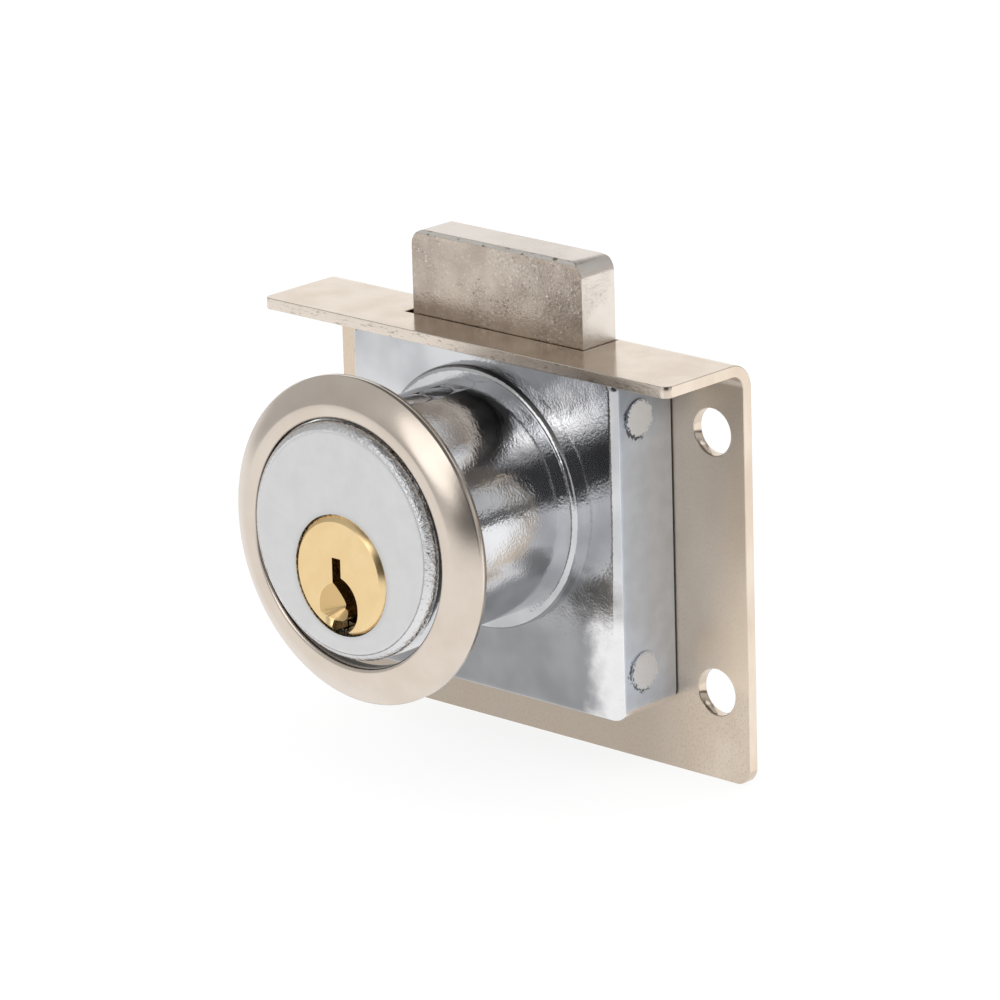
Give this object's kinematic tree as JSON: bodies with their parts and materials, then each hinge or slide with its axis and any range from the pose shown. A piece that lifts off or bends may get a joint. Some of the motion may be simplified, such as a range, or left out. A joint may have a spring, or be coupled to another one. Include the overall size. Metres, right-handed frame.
{
  "type": "cabinet lock",
  "caption": "Half-mortise cabinet lock: a round-barrelled pin cylinder that lifts a flat bolt through the flange of its angled mounting plate.",
  "frame": {"origin": "on the barrel's axis, in the plane of the mounting plate's front face, which lies against the back of the board", "axes": "-Y runs out of the front of the lock along the barrel, +Z is the way the bolt rises, and +X is to the right seen from the front"},
  "size_m": [0.05, 0.0278, 0.048],
  "materials": {
    "plate_nickel": "nickel-plated steel sheet, finely rubbed upright",
    "chrome_casting": "bright chrome plating over a slightly rippled zinc casting",
    "bolt_nickel": "nickel-plated, satin faces with soft edges",
    "plug_brass": "turned brass, satin face with a bright bevel",
    "cam_steel": "plain turned steel",
    "ring_nickel": "polished nickel plating",
    "pin_brass": "turned brass",
    "pin_steel": "ground steel",
    "spring_steel": "drawn spring wire"
  },
  "bodies": {
    "housing": {"mounting_plate": "plate_nickel", "case": "chrome_casting", "chamber_caps": "chrome_casting", "pin_spring_1": "spring_steel", "pin_spring_2": "spring_steel", "pin_spring_3": "spring_steel", "pin_spring_4": "spring_steel", "pin_spring_5": "spring_steel"},
    "plug": {"plug": "plug_brass", "cam": "cam_steel"},
    "bolt": {"bolt": "bolt_nickel"},
    "trim_ring": {"trim_ring": "ring_nickel"},
    "key_pin_1": {"key_pin_1": "pin_brass"},
    "driver_pin_1": {"driver_pin_1": "pin_steel"},
    "key_pin_2": {"key_pin_2": "pin_brass"},
    "driver_pin_2": {"driver_pin_2": "pin_steel"},
    "key_pin_3": {"key_pin_3": "pin_brass"},
    "driver_pin_3": {"driver_pin_3": "pin_steel"},
    "key_pin_4": {"key_pin_4": "pin_brass"},
    "driver_pin_4": {"driver_pin_4": "pin_steel"},
    "key_pin_5": {"key_pin_5": "pin_brass"},
    "driver_pin_5": {"driver_pin_5": "pin_steel"}
  },
  "joints": [
    {"name": "plug_turn", "type": "hinge", "parent": "housing", "child": "plug", "pos_m": [0, 0, -0.00305], "axis": [0, 1, 0], "range_deg": [0, 180]},
    {"name": "bolt_slide", "type": "slide", "parent": "housing", "child": "bolt", "axis": [0, 0, 1], "range_m": [-0.008, 0]},
    {"name": "trim_ring_slide", "type": "slide", "parent": "housing", "child": "trim_ring", "axis": [0, 1, 0], "range_m": [-0.025, 0.0132]},
    {"name": "key_pin_1_slide", "type": "slide", "parent": "plug", "child": "key_pin_1", "axis": [0, 0, 1], "range_m": [-0.00261, 0]},
    {"name": "key_pin_2_slide", "type": "slide", "parent": "plug", "child": "key_pin_2", "axis": [0, 0, 1], "range_m": [-0.00181, 0]},
    {"name": "key_pin_3_slide", "type": "slide", "parent": "plug", "child": "key_pin_3", "axis": [0, 0, 1], "range_m": [-0.00221, 0]},
    {"name": "key_pin_4_slide", "type": "slide", "parent": "plug", "child": "key_pin_4", "axis": [0, 0, 1], "range_m": [-0.00141, 0]},
    {"name": "key_pin_5_slide", "type": "slide", "parent": "plug", "child": "key_pin_5", "axis": [0, 0, 1], "range_m": [-0.00241, 0]},
    {"name": "driver_pin_1_slide", "type": "slide", "parent": "housing", "child": "driver_pin_1", "axis": [0, 0, 1], "range_m": [0, 0.0016], "stiffness_N_per_m": 300, "springref_m": -0.0015, "deforming": ["pin_spring_1"]},
    {"name": "driver_pin_2_slide", "type": "slide", "parent": "housing", "child": "driver_pin_2", "axis": [0, 0, 1], "range_m": [0, 0.0016], "stiffness_N_per_m": 300, "springref_m": -0.0015, "deforming": ["pin_spring_2"]},
    {"name": "driver_pin_3_slide", "type": "slide", "parent": "housing", "child": "driver_pin_3", "axis": [0, 0, 1], "range_m": [0, 0.0016], "stiffness_N_per_m": 300, "springref_m": -0.0015, "deforming": ["pin_spring_3"]},
    {"name": "driver_pin_4_slide", "type": "slide", "parent": "housing", "child": "driver_pin_4", "axis": [0, 0, 1], "range_m": [0, 0.0016], "stiffness_N_per_m": 300, "springref_m": -0.0015, "deforming": ["pin_spring_4"]},
    {"name": "driver_pin_5_slide", "type": "slide", "parent": "housing", "child": "driver_pin_5", "axis": [0, 0, 1], "range_m": [0, 0.0016], "stiffness_N_per_m": 300, "springref_m": -0.0015, "deforming": ["pin_spring_5"]}
  ],
  "couplings": [
    {"joint": "bolt_slide", "follows": "plug_turn", "m_per_rad": -0.002546}
  ]
}
